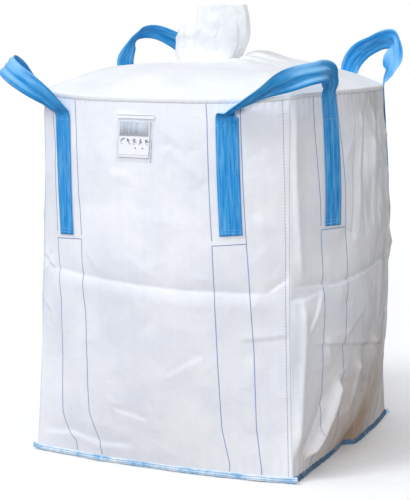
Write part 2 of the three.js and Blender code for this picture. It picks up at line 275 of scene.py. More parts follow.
def relief(side, a, z):
    """How far the cloth of a side stands out from its bare surface."""
    half = half_side(z)
    edge = np.clip(1 - np.abs(a) / half, 0, 1)
    out = swell(a, z, 11 + side, 0.34, 0.0022)
    for line, *shape in FOLDS[side]:
        out = out + crease(a, z, places(line), *(size / 1000 for size in shape))
    out = out + crumple(a, z, 31 + side, 90, 0.13, 0.0013, 0.3, (-0.45, 0.45, 0.0, 1.15))
    rough = (0.35, 1, 0.6, 0.6)[side]
    low, high = ((-0.45, 0.45), (-0.2, 0.3), (-0.45, 0.45), (-0.45, 0.45))[side]
    out = out + rough * crumple(a, z, 51 + side, 80, 0.15, 0.0036, 0.85, (low, high, 0.62, 1.14))
    out = out + rough * crumple(a, z, 71 + side, 50, 0.14, 0.0038, 0.3, (-0.36, 0.4, 0.04, 0.55))
    if side == FRONT:
        beside = smooth((np.abs(a - POUCH_MIDDLE) - 0.07) / 0.03)
        below, over = smooth((POUCH_TOP - 0.15 - z) / 0.03), smooth((z - POUCH_TOP - 0.02) / 0.02)
        out = out * np.clip(beside + below + over, 0, 1)
    for middle in LEG_MIDDLES[side]:
        out = out * (1 - 0.8 * np.exp(-(((a - middle) / 0.052) ** 4)) * smooth((z - 0.715) / 0.04))
    gather = np.exp(-(HEIGHT - z) / 0.035)
    out = out + 0.0016 * gather * np.sin(a * 2 * math.pi / 0.021 + 2 * np.sin(a * 23))
    foot = np.exp(-z / 0.045)
    out = out + 0.0016 * foot * np.sin(a * 2 * math.pi / 0.034 + 3 * np.sin(a * 17))
    tuck = FOOT_TUCK[side] * np.exp(-((a + 0.03) / 0.2) ** 2)
    if side == RIGHT:
        tuck = tuck + np.interp(a, *places(FOOT_PLEAT).T)
    out = out - tuck * np.exp(-((z / 0.1) ** 1.5))
    return out * smooth(edge * 28)


def cloth(side, a, z, lift=0.0):
    """Points on the folded cloth of a side, lifted off it by lift."""
    a, z = np.broadcast_arrays(np.asarray(a, float), np.asarray(z, float))
    points, outward = bare_side(side, a, z)
    points = points + outward * (relief(side, a, z) + lift)[..., None]
    share = a / half_side(z)
    points[..., 2] += SEAM_RISE[side] * (1 - share**4) * smooth((z - 0.95) / 0.23)
    return points


def facing(angle):
    """The side that lies in the direction of angle, and the angle from that side's middle."""
    quarter = np.round((angle + QUARTER) / QUARTER)
    return quarter.astype(int) % 4, angle + QUARTER - quarter * QUARTER


def seam_radius(angle):
    """Distance from the centre to the top seam in the direction of angle."""
    local = facing(angle)[1]
    corner, bulge = CORNER[2], BULGE[2]
    a = bulge * np.tan(local) ** 2 / corner**2
    depth = 2 * (corner + bulge) / (1 + np.sqrt(1 + 4 * a * (corner + bulge)))
    return depth / np.cos(local)


# ---- mesh helpers


def link(name, data):
    """A new object in the scene."""
    made = bpy.data.objects.new(name, data)
    bpy.context.scene.collection.objects.link(made)
    return made


def new_object(name, points, faces, finish, uv=None):
    mesh = bpy.data.meshes.new(name)
    mesh.from_pydata([tuple(p) for p in points], [], faces)
    mesh.polygons.foreach_set("use_smooth", [True] * len(mesh.polygons))
    if uv is not None:
        layer = mesh.uv_layers.new(name="weave")
        corner_vertices = np.empty(len(mesh.loops), int)
        mesh.loops.foreach_get("vertex_index", corner_vertices)
        layer.data.foreach_set("uv", np.asarray(uv, float)[corner_vertices].ravel())
    mesh.materials.append(finish)
    mesh.update()
    return link(name, mesh)


def grid_faces(rows, columns, wrap=False, flip=False):
    faces = []
    for i in range(rows - 1):
        low, high = i * columns, (i + 1) * columns
        for j in range(columns if wrap else columns - 1):
            k = (j + 1) % columns
            quad = (low + j, low + k, high + k, high + j)
            faces.append(quad[::-1] if flip else quad)
    return faces


def grid_sheet(name, points, uv, finish, wrap=False, thickness=CLOTH, flip=False):
    """A sheet from a grid of points (rows, columns, 3), thickened inward."""
    rows, columns = points.shape[:2]
    faces = grid_faces(rows, columns, wrap, flip)
    made = new_object(name, points.reshape(-1, 3), faces, finish, uv.reshape(-1, 2))
    wall = made.modifiers.new("cloth_thickness", "SOLIDIFY")
    wall.thickness = thickness
    wall.offset = -1.0
    return made


def ribbon(name, centres, edges, width, thickness, finish, across, cup=None):
    """A solid flat band swept through centres; edges are vectors across it."""
    along = unit(np.gradient(centres, axis=0))
    edges = unit(edges - (edges * along).sum(1)[:, None] * along)
    faces_out = np.cross(edges, along)
    run = np.concatenate([[0], np.cumsum(np.linalg.norm(np.diff(centres, axis=0), axis=1))])
    s = np.linspace(-0.5, 0.5, across + 1)
    base = centres[:, None] + edges[:, None] * (s * width)[None, :, None]
    if cup is not None:
        base = base + faces_out[:, None] * cup(run[:, None], s[None, :])[..., None]
    rolled = thickness / 2 * np.sqrt(np.clip(1 - (np.abs(s) * 2) ** 8, 0.06, 1))
    wall = faces_out[:, None] * rolled[None, :, None]
    ring = np.concatenate([base + wall, (base - wall)[:, ::-1]], axis=1)
    u = np.concatenate([s * width, s[::-1] * width + 2 * width])
    uv = np.stack(np.broadcast_arrays(u[None, :], run[:, None]), -1)
    count, around = ring.shape[:2]
    faces = grid_faces(count, around, True)
    last = (count - 1) * around
    for k in range(across):
        a, b, c, d = k, k + 1, around - 2 - k, around - 1 - k
        faces += [(b, a, d, c), (last + a, last + b, last + c, last + d)]
    return new_object(name, ring.reshape(-1, 3), faces, finish, uv.reshape(-1, 2))


def spline(points, count):
    """Catmull-Rom curve through points, at count even parameter steps."""
    p = np.asarray(points, float)
    p = np.vstack([2 * p[0] - p[1], p, 2 * p[-1] - p[-2]])
    spans = len(p) - 3
    s = np.linspace(0, spans, count)
    i = np.minimum(s.astype(int), spans - 1)
    t = (s - i)[:, None]
    a, b, c, d = p[i], p[i + 1], p[i + 2], p[i + 3]
    return b + ((c - a) * t + (2 * a - 5 * b + 4 * c - d) * t**2 + (3 * b - a - 3 * c + d) * t**3) / 2


def even(points, step):
    """The same polyline at even steps."""
    run = np.concatenate([[0], np.cumsum(np.linalg.norm(np.diff(points[:, :3], axis=0), axis=1))])
    count = max(2, int(round(run[-1] / step)) + 1)
    at = np.linspace(0, run[-1], count)
    return np.stack([np.interp(at, run, points[:, k]) for k in range(points.shape[1])], 1)


class Boxes:
    """Collects many small rounded bars, such as stitches, into one mesh."""

    def __init__(self):
        self.points, self.faces = [], []

    def close(self, base, rings):
        """Faces round the last rings of four points, from number base on, and at both ends."""
        sides = grid_faces(rings, 4, True)
        last = (rings - 1) * 4
        for face in [*sides, (3, 2, 1, 0), range(last, last + 4)]:
            self.faces.append(tuple(base + k for k in face))

    def bar(self, start, end, up, width, height):
        """A six-sided bar from start to end, lying on the surface whose normal is up."""
        along = end - start
        side = unit(np.cross(up, along))
        rings = ((0.0, 0.35), (0.18, 1.0), (0.82, 1.0), (1.0, 0.35))
        section = ((-1, -0.2), (-0.6, 0.8), (0.6, 0.8), (1, -0.2))
        base = len(self.points)
        for t, share in rings:
            for across, rise in section:
                lift = up * rise * height * (share if rise > 0 else 1)
                self.points.append(start + along * t + side * (across * width / 2 * share) + lift)
        self.close(base, len(rings))

    def plate(self, corners, up, height):
        """A thin flat block on four corners."""
        base = len(self.points)
        for lift in (0.0, height):
            self.points.extend(corner + up * lift for corner in corners)
        self.close(base, 2)

    def row(self, points, normals, pitch, share, width, height):
        """Stitches of one seam, with a gap between each and the next."""
        both = even(np.hstack([points, np.broadcast_to(normals, points.shape)]), pitch)
        for p, q in zip(both[:-1], both[1:]):
            gap = (q - p)[:3] * (1 - share) / 2
            self.bar(p[:3] + gap, q[:3] - gap, unit(p[3:]), width, height)

    def build(self, name, finish, body="bag"):
        """The collected bars as one object that rides on a body."""
        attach(new_object(name, self.points, self.faces, finish), body)


def belongs(made, body, slot, *nodes):
    """Put a piece on its body, in place of the CAD nodes; slot is not used."""
    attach(made, body)
    if nodes:
        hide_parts(*nodes)


# ---- materials


def colour(hex_code):
    """sRGB hex to linear."""
    channels = [int(hex_code[i : i + 2], 16) / 255 for i in (0, 2, 4)]
    return tuple(c / 12.92 if c <= 0.04045 else ((c + 0.055) / 1.055) ** 2.4 for c in channels) + (1.0,)


class Nodes:
    """Short calls for one node tree."""

    def __init__(self, tree):
        self.tree = tree

    def feed(self, socket, value):
        """Link value into socket where it is an output, or else set it; text is a hex colour."""
        if isinstance(value, bpy.types.NodeSocket):
            self.tree.links.new(value, socket)
        else:
            socket.default_value = colour(value) if isinstance(value, str) else value

    def node(self, kind, **inputs):
        made = self.tree.nodes.new(kind)
        for key, value in inputs.items():
            self.feed(made.inputs[key.replace("_", " ")], value)
        return made

    def math(self, operation, first, second=0.0):
        made = self.tree.nodes.new("ShaderNodeMath")
        made.operation = operation
        self.feed(made.inputs[0], first)
        self.feed(made.inputs[1], second)
        return made.outputs[0]

    def times(self, first, *others):
        for other in others:
            first = self.math("MULTIPLY", first, other)
        return first

    def wave(self, value, pitch):
        return self.math("SINE", self.times(value, 2 * math.pi / pitch))

    def span(self, value, start, end, low=0.0, high=1.0):
        """low to high as value goes from start to end."""
        limits = dict(From_Min=start, From_Max=end, To_Min=low, To_Max=high)
        return self.node("ShaderNodeMapRange", Value=value, **limits).outputs[0]

    def axis(self, vector, index):
        return self.node("ShaderNodeSeparateXYZ", Vector=vector).outputs[index]

    def position(self):
        return self.node("ShaderNodeTexCoord").outputs["Object"]

    def weave_uv(self):
        uv = self.tree.nodes.new("ShaderNodeUVMap")
        uv.uv_map = "weave"
        return self.axis(uv.outputs[0], 0), self.axis(uv.outputs[0], 1)

    def stretched(self, vector, *scale):
        return self.node("ShaderNodeMapping", Vector=vector, Scale=scale).outputs[0]

    def noise(self, vector, scale, detail=3.0, roughness=0.5, distortion=0.0):
        shape = dict(Scale=scale, Detail=detail, Roughness=roughness, Distortion=distortion)
        return self.node("ShaderNodeTexNoise", Vector=vector, **shape).outputs["Fac"]

    def ramp(self, value, *stops):
        """Stops are (place, shade); a shade is a hex colour or the level of a grey."""
        made = self.node("ShaderNodeValToRGB", Fac=value)
        elements = made.color_ramp.elements
        while len(elements) < len(stops):
            elements.new(0.5)
        for element, (place, shade) in zip(elements, stops):
            element.position = place
            element.color = colour(shade) if isinstance(shade, str) else (shade, shade, shade, 1)
        return made.outputs["Color"]

    def mix(self, share, first, second, mode="MIX"):
        made = self.tree.nodes.new("ShaderNodeMix")
        made.data_type = "RGBA"
        made.blend_type = mode
        for index, value in ((0, share), (6, first), (7, second)):
            self.feed(made.inputs[index], value)
        return made.outputs[2]

    def bump(self, height, strength, distance, under=None):
        made = self.node("ShaderNodeBump", Strength=strength, Distance=distance, Height=height)
        if under is not None:
            self.feed(made.inputs["Normal"], under)
        return made.outputs["Normal"]


class Finish(Nodes):
    """One material."""

    def __init__(self, name):
        self.material = bpy.data.materials.new(name)
        self.material.use_nodes = True
        super().__init__(self.material.node_tree)
        self.shader = self.tree.nodes["Principled BSDF"]

    def set(self, **inputs):
        for key, value in inputs.items():
            self.feed(self.shader.inputs[key.replace("_", " ")], value)
        return self.material


def woven_cloth(name, light, shade, roughness, weave=0.12, dust_and_shade=0.0, painted_shade=0.0):
    """Coated tape cloth: faint tapes, streaky tone and a satin skin.

    One amount browns it near its foot and more toward the back, partly as dust and partly as painted warm
    shade; the other greys it behind the middle, which is painted shade.
    """
    f = Finish(name)
    where = f.position()
    tone = f.noise(where, 5.0, 4.0, 0.6)
    streaks = f.noise(f.stretched(where, 60.0, 60.0, 1.5), 1.0, 3.0, 0.6)
    base = f.ramp(tone, (0.32, shade), (0.62, light))
    base = f.mix(0.1, base, f.ramp(streaks, (0.35, shade), (0.65, "FFFFFF")), "MULTIPLY")
    # Browning toward the foot, more toward the back: partly dust, partly painted warm shade, which also
    # darkens the panel beside the lit corner facet.
    if dust_and_shade:
        low = f.span(f.axis(where, 2), 0.5, 0.1)
        back = f.span(f.axis(where, 1), -0.44, -0.05, 0.1, 0.85)
        cloud = f.ramp(f.noise(where, 3.6, 4.0, 0.62, 0.5), (0.3, 0.25), (0.68, 1.0))
        share = f.times(low, back, dust_and_shade, cloud)
        base = f.mix(share, base, "BE9670", "MULTIPLY")
    # Painted shade: grey blots behind the middle, where the side turns away from the light.
    if painted_shade:
        span = f.span(f.axis(where, 1), -0.22, 0.42)
        far = f.ramp(span, (0.0, 0.0), (0.44, 1.0), (0.62, 0.7), (1.0, 0.1))
        blots = f.noise(f.stretched(where, 18.0, 18.0, 4.0), 1.0, 5.0, 0.66, 0.8)
        share = f.times(far, painted_shade, f.ramp(blots, (0.36, 0.2), (0.62, 1.0)))
        base = f.mix(share, base, "B2B2AC", "MULTIPLY")
    fine = f.noise(where, 55.0, 5.0, 0.62, 0.4)
    u, v = f.weave_uv()
    tapes = f.times(f.wave(u, TAPE_PITCH), f.wave(v, TAPE_PITCH), 0.5)
    normal = f.bump(tapes, weave, 0.0012)
    normal = f.bump(f.noise(where, 16.0, 4.0, 0.6, 0.8), 0.22, 0.01, normal)
    return f.set(
        Base_Color=base,
        Roughness=f.ramp(fine, (0.0, roughness - 0.08), (1.0, roughness + 0.1)),
        Specular_IOR_Level=0.35,
        Sheen_Weight=0.15,
        Sheen_Roughness=0.4,
        Normal=f.bump(fine, 0.1, 0.003, normal),
    )


def webbing(name):
    """Ribbed blue lifting webbing, paler where it is worn, and with a painted sky highlight where it faces
    up.
    """
    f = Finish(name)
    u, v = f.weave_uv()
    ribs = f.wave(u, RIB_PITCH)
    herringbone = f.times(ribs, f.wave(v, PICK_PITCH))

    def lengthwise(across, along):
        joined = f.node("ShaderNodeCombineXYZ", X=f.times(u, across), Y=f.times(v, along))
        return f.noise(joined.outputs[0], 1.0, 3.0, 0.6)

    yarns = lengthwise(150.0, 7.0)
    worn = lengthwise(45.0, 11.0)
    base = f.ramp(yarns, (0.28, "0C76C2"), (0.5, "2696DE"), (0.74, "62B8F0"))
    base = f.mix(f.ramp(worn, (0.48, 0.0), (0.74, 0.42)), base, "8ACBF4")
    # Painted highlight: the webbing is paler where its surface faces up, as if it reflected the sky.
    upward = f.axis(f.node("ShaderNodeNewGeometry").outputs["Normal"], 2)
    base = f.mix(f.span(upward, 0.05, 0.8, high=0.55), base, "A6D6F6")
    normal = f.bump(ribs, 0.35, 0.0009)
    normal = f.bump(herringbone, 0.18, 0.0006, normal)
    return f.set(
        Base_Color=base,
        Roughness=f.ramp(worn, (0.0, 0.55), (1.0, 0.76)),
        Specular_IOR_Level=0.22,
        Sheen_Weight=0.03,
        Sheen_Tint="BFE0FF",
        Normal=f.bump(yarns, 0.25, 0.0012, normal),
    )


def speckled(name, shade, light, scale, detail=3.0, grain=0.6, start=0.3, roughness=0.6, bump=None):
    """A plain finish that wavers between two tones: thread, paper, ink or floor."""
    f = Finish(name)
    speckle = f.noise(f.position(), scale, detail, grain)
    f.set(Base_Color=f.ramp(speckle, (start, shade), (0.7, light)), Roughness=roughness)
    if bump:
        f.set(Normal=f.bump(speckle, *bump))
    return f.material


def binding_tape(name, *tones):
    """Folded seam tape in stretches of four tones."""
    f = Finish(name)
    where = f.position()
    patches = f.noise(where, 17.0, 4.0, 0.6)
    base = f.ramp(patches, *zip((0.3, 0.5, 0.62, 0.78), tones))
    normal = f.bump(f.wave(f.weave_uv()[1], 0.003), 0.25, 0.0008)
    normal = f.bump(f.noise(where, 90.0, 4.0, 0.6), 0.4, 0.002, normal)
    return f.set(Base_Color=base, Roughness=f.ramp(patches, (0.0, 0.6), (1.0, 0.8)), Normal=normal)


def clear_film(name):
    f = Finish(name)
    ripples = f.noise(f.position(), 22.0, 3.0, 0.55, 0.6)
    return f.set(
        Base_Color="F4F7FA",
        Roughness=f.ramp(ripples, (0.0, 0.14), (1.0, 0.3)),
        Alpha=0.04,
        Normal=f.bump(ripples, 0.25, 0.004),
    )


TAPE_PITCH, RIB_PITCH, PICK_PITCH = 0.005, 0.0035, 0.0024
SPUN = dict(scale=380.0, detail=2.0, grain=0.5, bump=(0.4, 0.0006))
PRINTED = dict(scale=240.0, start=0.35, roughness=0.55, bump=(0.08, 0.0005))

# Side cloths brown toward the foot, partly with dust and partly with painted warm shade.
SIDE_CLOTH = woven_cloth("woven_side_cloth", "F1F3F8", "E3E7F0", 0.5, dust_and_shade=0.45)
# The right-hand side's own copy: browner at the foot and grey behind the middle, as painted shade for the
# side turned from the light.
SHADED_DUSTY_CLOTH = woven_cloth("shaded_dusty_side_cloth", "F1F4F9", "E2E8F0", 0.5, dust_and_shade=1.0, painted_shade=0.8)
TOP_CLOTH = woven_cloth("woven_top_cloth", "E9EBED", "DFE2E5", 0.55)
SPOUT_CLOTH = woven_cloth("thin_spout_cloth", "ECEEF0", "E2E5E7", 0.42, 0.06)
BLUE_WEBBING = webbing("blue_webbing")
MARKER = speckled("blue_marker_thread", "5E7FB4", "8AA3CC", **SPUN)
SEAM_THREAD = speckled("seam_thread", "7F92B5", "AAB8D0", **SPUN)
HEM_THREAD = speckled("hem_thread", "C8CED9", "DCE1E9", **SPUN)
PALE_THREAD = speckled("pale_thread", "86C2F0", "C6E3F9", **SPUN)
BLUE_THREAD = speckled("blue_chain_thread", "22608F", "3E86C0", **SPUN)
BINDING_TAPE = binding_tape("binding_tape", "F2F5F8", "CBE0F1", "8FC0E6", "4E9AD4")
# A darker copy of the binding tape: painted shade for the right-hand side.
SHADED_TAPE = binding_tape("shaded_binding_tape", "9CA9B4", "4A6178", "3F79A0", "2A3A4C")
FILM = clear_film("clear_pouch_film")
CARD = speckled("card_paper", "ECEEF4", "F4F5F9", 120.0, 4.0, roughness=0.75, bump=(0.1, 0.0008))
PALE_INK = speckled("pale_blue_ink", "C4CCD9", "D2D9E3", **PRINTED)
GREY_INK = speckled("grey_ink", "A9B3C2", "B9C2CF", **PRINTED)
DARK_INK = speckled("dark_ink", "3A4150", "565E6E", **PRINTED)

# ---- body cloth


def side_panel(side, step):
    """A side from corner seam to corner seam, on a grid of about step."""
    rows = int(round(HEIGHT / step)) + 1
    columns = int(round(2 * half_side(0.6) / step)) + 1
    z = np.linspace(0.0024, HEIGHT - 0.001, rows)[:, None] + np.zeros((1, columns))
    a = np.linspace(-1, 1, columns)[None, :] * half_side(z)
    points = cloth(side, a, z)
    name = SIDE_NAMES[side]
    # The right-hand side takes its own copy of the cloth, with painted shade.
    finish = SHADED_DUSTY_CLOTH if side == RIGHT else SIDE_CLOTH
    made = grid_sheet(f"{name}_cloth", points, np.stack([a, z], -1), finish)
    belongs(made, "bag", "side_cloth", f"{name}_panel")


# Where slack cloth is heaped or sagging on the dome: rise, middle, reach.
DOME_HEAPS = (
    (0.03, (0.12, 0.06), (0.075, 0.12)),
    (0.015, (0.26, 0.1), (0.11, 0.14)),
    (-0.013, (-0.24, 0.08), (0.12, 0.18)),
)


def dome_relief(x, y, s, angle):
    """Folds of the top panel: gathers round the spout and slack toward the corners."""
    around = np.arctan2(y, x - SPOUT_X)
    near = np.exp(-s / 0.22)
    out = 0.006 * near * np.sin(around * 13 + 3 * np.sin(around * 3)) * smooth(s * 12)
    out += 0.003 * np.exp(-s / 0.5) * np.sin(around * 11 + 1.3) * smooth(s * 5)
    out += swell(x, y, 91, 0.3, 0.004) * smooth(s * 4) * smooth((1 - s) * 4)
    out += crumple(x, y, 93, 110, 0.16, 0.0016, 0.2, (-0.45, 0.45, -0.45, 0.45)) * smooth((1 - s) * 6)
    for rise, (middle_x, middle_y), (wide, deep) in DOME_HEAPS:
        heap = np.exp(-(((x - middle_x) / wide) ** 2) - ((y - middle_y) / deep) ** 2)
        out += rise * heap * smooth(s * 14) * smooth((1 - s) * 4)
    edge = np.exp(-(1 - s) / 0.05)
    out += 0.0016 * edge * np.sin(angle * 130) * smooth((1 - s) * 30)
    return out


def top_point(angle, s):
    """A point of the top panel: s runs from the spout hole, 0, to the top seam, 1."""
    outer = seam_radius(angle)
    hx = HOLE[0] * np.cos(angle) + SPOUT_X
    hy = HOLE[1] * np.sin(angle)
    x = hx + (outer * np.cos(angle) - hx) * s
    y = hy + (outer * np.sin(angle) - hy) * s
    r = np.minimum(np.hypot(x, y) / seam_radius(np.arctan2(y, x)), 1)
    z = HEIGHT + DOME * (1 - r**DOME_POWER)
    side, local = facing(angle)
    rise = np.array(SEAM_RISE)[side] * (1 - (2 * local / QUARTER) ** 4)
    z = z + rise * r**6 + dome_relief(x, y, s, angle)
    return np.stack([x, y, z], -1)


def rim_points(angle, drop, lift):
    """Points on the side cloth just under the top seam, in the direction of angle."""
    nearest, local = facing(angle)
    across = seam_radius(angle) * np.sin(local)
    corner, bulge = CORNER[2], BULGE[2]
    a = cloth_length(corner, bulge, 2 * bulge * across / corner**2)
    out = np.zeros(angle.shape + (3,))
    for side in range(4):
        here = nearest == side
        out[here] = cloth(side, a[here], HEIGHT - drop, lift)
    return out


# The hem below the top seam: drop from the seam and lift off the side cloth.
HEM = ((0.004, 0.0013), (0.008, 0.0011), (0.012, 0.0006), (0.0135, -0.0004))


def top_panel():
    """The domed cover, its rim turned down over the side cloth as a hem."""
    around = np.arange(420) / 420 * 2 * math.pi
    s = 1 - (1 - np.linspace(0, 1, 96)) ** 1.15
    angle, share = np.meshgrid(around, s)
    points = top_point(angle, share)
    rim = rim_points(around, 0.001, 0.0012)
    points += (rim - points[-1]) * (share**12)[..., None]
    points = np.concatenate([points, [rim_points(around, *place) for place in HEM]])
    made = grid_sheet("top_cloth", points, points[..., :2], TOP_CLOTH, wrap=True)
    belongs(made, "bag", "top_cloth", "top_panel")


def bottom_panel():
    u = np.linspace(-1, 1, 60)
    x, y = np.meshgrid(u, u)
    inside = 1 - np.maximum(np.abs(x), np.abs(y))
    reach = CORNER[0] - 0.003
    z = 0.0018 + 0.0006 * np.sin(x * 9) * np.sin(y * 11) * inside
    points = np.stack([x * reach, y * reach, z], -1)
    made = grid_sheet("bottom_cloth", points, points[..., :2], SIDE_CLOTH)
    belongs(made, "bag", "side_cloth", "bottom_panel")


for side, step in ((FRONT, 0.005), (RIGHT, 0.005), (BACK, 0.007), (LEFT, 0.007)):
    side_panel(side, step)
top_panel()
bottom_panel()

# ---- marker threads and seams


def line_points(side, knots, lift):
    """Points and outward directions along a line of (a, z) knots on a side."""
    a, z = even(knots, 0.006).T
    return cloth(side, a, z, lift), bare_side(side, a, z)[1]


def marker_thread(name, side, knots):
    points, outward = line_points(side, knots, 0.0006)
    edges = np.cross(np.gradient(points, axis=0), outward)
    made = ribbon(name, points, edges, 0.0022, 0.0008, MARKER, across=2)
    belongs(made, "bag", "side_cloth")


# Marker threads on each side, as places (a, z) in mm one after another.
MARKER_LINES = {}
MARKER_LINES[FRONT] = [
    (-398, 1165, -368, 735),
    (-282, 1164, -243, 735),
    (-371, 714, -341, 516, -343, 144, -323, 86, -291, 57, -289, 24),
    (-243, 722, -228, 544, -223, 493, -225, 163, -194, 65, -190, 24),
    (185, 1164, 191, 1117, 219, 745),
    (288, 1164, 331, 640, 345, 407, 346, 163, 358, 36, 357, 22),
    (220, 730, 227, 597, 231, 483, 238, 157, 257, 44, 253, 22),
    (-371, 714, -243, 723),
    (220, 730, 325, 737),
]
MARKER_LINES[RIGHT] = [
    (-343, 1168, -343, 1057, -334, 780),
    (-225, 1168, -219, 943, -217, 741, -210, 593, -224, 378, -203, 228, -172, 105, -168, 22),
    (-334, 765, -327, 607, -329, 395, -318, 160, -322, 22),
    (-334, 768, -222, 768),
    (268, 1165, 258, 600, 250, 30),
    (378, 1165, 378, 600, 362, 30),
]
MARKER_LINES[BACK] = MARKER_LINES[LEFT] = [
    (s * near, 1165, s * near, 600, s * far, 30) for s in (-1, 1) for near, far in ((230, 215), (340, 320))
]
for side, lines in MARKER_LINES.items():
    for number, knots in enumerate(lines):
        marker_thread(f"{SIDE_NAMES[side]}_marker_thread_{number + 1}", side, places(knots))


def seam_stitches(name, knots, finish, pitch, lift):
    """The same seam on all four sides."""
    boxes = Boxes()
    for side in range(4):
        boxes.row(*line_points(side, knots, lift), pitch, 0.72, 0.002, 0.0011)
    boxes.build(name, finish)


CORNER_SEAM = (412, 1172, 419, 1110, 436, 870, 442, 720, 443, 500, 441, 190, 440, 20)
TOP_SEAM = np.stack([np.linspace(-0.425, 0.425, 9), np.full(9, HEIGHT - 0.009)], -1)
seam_stitches("corner_seam_stitches", places(CORNER_SEAM), SEAM_THREAD, 0.01, 0.0004)
seam_stitches("top_seam_stitches", TOP_SEAM, HEM_THREAD, 0.009, 0.0016)

# ---- lifting loops

# Each loop's two legs: the side it is sewn to, where its foot and head lie along the side,
# and the heights of its foot and top. Then the free strap as rows of u, v, w in mm and the
# direction of its edge; u runs along the chord between the leg heads, v outward and w up.
LOOPS = {}
LOOPS["front_right"] = (
    ((FRONT, 0.277, 0.252, 0.761, 1.11), (RIGHT, -0.284, -0.268, 0.778, 1.19)),
    (0, 2, 3, 0.87, 0.45, 0.16),
    (-167, 11, 16, 0.82, 0.3, 0.46),
    (-152, 36, 30, 0.88, -0.25, 0.3),
    (-128, 56, 48, 0.78, -0.55, 0.05),
    (-89, 80, 75, 0.56, -0.76, -0.39),
    (-34, 95, 106, 0.26, -0.3, -0.87),
    (34, 100, 128, 0.05, 0.35, -0.94),
    (92, 88, 138, 0, 0.5, -0.87),
    (128, 60, 140, -0.05, 0.45, -0.9),
    (150, 33, 130, -0.66, 0.42, -0.52),
    (160, 11, 112, -0.87, 0.47, -0.12),
    (0, 1, 93, -0.892, 0.453, 0),
)
LOOPS["front_left"] = (
    ((FRONT, -0.314, -0.338, 0.731, 1.11), (LEFT, 0.285, 0.285, 0.745, 1.11)),
    (0, 2, 4, 0.88, 0.47, -0.05),
    (-133, 16, 18, 0.87, 0.3, -0.4),
    (-122, 40, 44, 0.78, 0.35, -0.55),
    (-105, 70, 68, 0.6, 0.5, -0.62),
    (-72, 110, 98, 0.3, 0.6, -0.75),
    (-35, 142, 126, 0.1, 0.65, -0.75),
    (20, 155, 150, 0, 0.65, -0.75),
    (80, 125, 145, 0, 0.6, -0.8),
    (115, 60, 90, -0.7, 0.4, -0.5),
    (0, 4, 16, -0.892, 0.453, 0),
)
LOOPS["back_left"] = (
    ((BACK, 0.285, 0.285, 0.745, 1.19), (LEFT, -0.285, -0.285, 0.745, 1.19)),
    (0, 0, 98, 0.892, 0.453, 0),
    (-120, 20, 152, 0.6, 0.5, -0.6),
    (-65, 30, 205, 0.2, 0.6, -0.75),
    (-10, 30, 235, 0, 0.7, -0.7),
    (40, 30, 250, 0, 0.75, -0.65),
    (88, 20, 247, -0.05, 0.8, -0.6),
    (113, 8, 231, -0.25, 0.88, -0.38),
    (134, -2, 203, -0.66, 0.66, -0.18),
    (160, -2, 145, -0.93, 0.22, 0),
    (0, 0, 98, -0.892, 0.453, 0),
)
LOOPS["back_right"] = (
    ((BACK, -0.285, -0.285, 0.745, 1.19), (RIGHT, 0.328, 0.318, 0.745, 1.19)),
    (0, 0, 98, 0.892, 0.453, 0),
    (-120, 10, 145, 0.4, 0.5, -0.7),
    (-80, 25, 185, -0.3, 0.4, -0.8),
    (-20, 45, 212, -0.7, 0.3, -0.65),
    (35, 55, 225, -0.7, 0.2, -0.65),
    (85, 55, 226, -0.5, 0.1, -0.8),
    (122, 38, 204, -0.45, -0.4, -0.75),
    (144, 20, 158, -0.66, -0.7, -0.1),
    (150, 6, 122, -0.9, -0.05, 0),
    (0, 0, 98, -0.892, 0.3, 0),
)
LEG_LIFT = 0.003  # middle of the webbing above the cloth it is sewn to
STRAP_LIFT = 0.0042


def leg_places(foot, head, bottom, top):
    """(a, z) up the middle of a sewn leg, from its foot to its top."""
    z = np.linspace(bottom, top, 60)
    a = foot + (head - foot) * np.minimum((z - bottom) / (LEG_HEAD - bottom), 1)
    return a, z


def leg_line(side, *leg):
    """Middle line of a sewn leg, and its edge directions toward the corner."""
    a, z = leg_places(*leg)
    middle = cloth(side, a, np.minimum(z, HEIGHT - 0.002), LEG_LIFT)
    middle[:, 2] = z
    right = bare_side(side, a + 0.001, z)[0] - bare_side(side, a - 0.001, z)[0]
    return middle, math.copysign(1, leg[1]) * unit(right)


def loop_line(legs, rows):
    """Middle line and edge directions of a whole loop: up one leg, over and down the other."""
    heads = [bare_side(side, head, LEG_HEAD) for side, foot, head, *heights in legs]
    p, q = (point + outward * STRAP_LIFT for point, outward in heads)
    u = unit(q - p)
    v = np.array([u[1], -u[0], 0.0])
    if v @ p < 0:
        v = -v
    axes = np.stack([u, v, UP])
    half = np.linalg.norm(q - p) / 2
    rows = np.array(rows, float)
    rows[:, :3] /= 1000
    rows[0, 0], rows[-1, 0] = -half, half
    strap = spline((p + q) / 2 + rows[:, :3] @ axes, 150)
    edges = unit(spline(rows[:, 3:] @ axes, 150))
    (first, first_edges), (last, last_edges) = (leg_line(*leg) for leg in legs)
    line = np.vstack([first, strap, last[::-1]])
    both = even(np.hstack([line, np.vstack([first_edges, edges, last_edges[::-1]])]), 0.006)
    for _ in range(2):
        both[1:-1] = (both[:-2] + 2 * both[1:-1] + both[2:]) / 4
    return both[:, :3], both[:, 3:]


def strap_creases(seed, legs):
    """Lengthwise buckles of the free strap, none where it is sewn down."""
    draw = np.random.default_rng(seed)
    limits = ((1.2, 3.4), (0, 6.28), (3, 9), (0, 6.28))
    waves = [[draw.uniform(low, high) for low, high in limits] for _ in range(5)]

    def rise(run, s):
        total = run.max()
        free = smooth((run - legs[0]) / 0.05) * smooth((total - legs[1] - run) / 0.05)
        out = 0.0
        for across, phase, beat, shift in waves:
            out = out + np.sin(s * across * 2 * math.pi + phase + 1.5 * np.sin(run * beat + shift))
        buckles = np.sin(s * 17 + 2.5 * np.sin(run * 7 + phase)) + 0.6 * np.sin(s * 31 + run * 9)
        return 0.0015 * out * free + 0.0008 * buckles * (1 - free)

    return rise


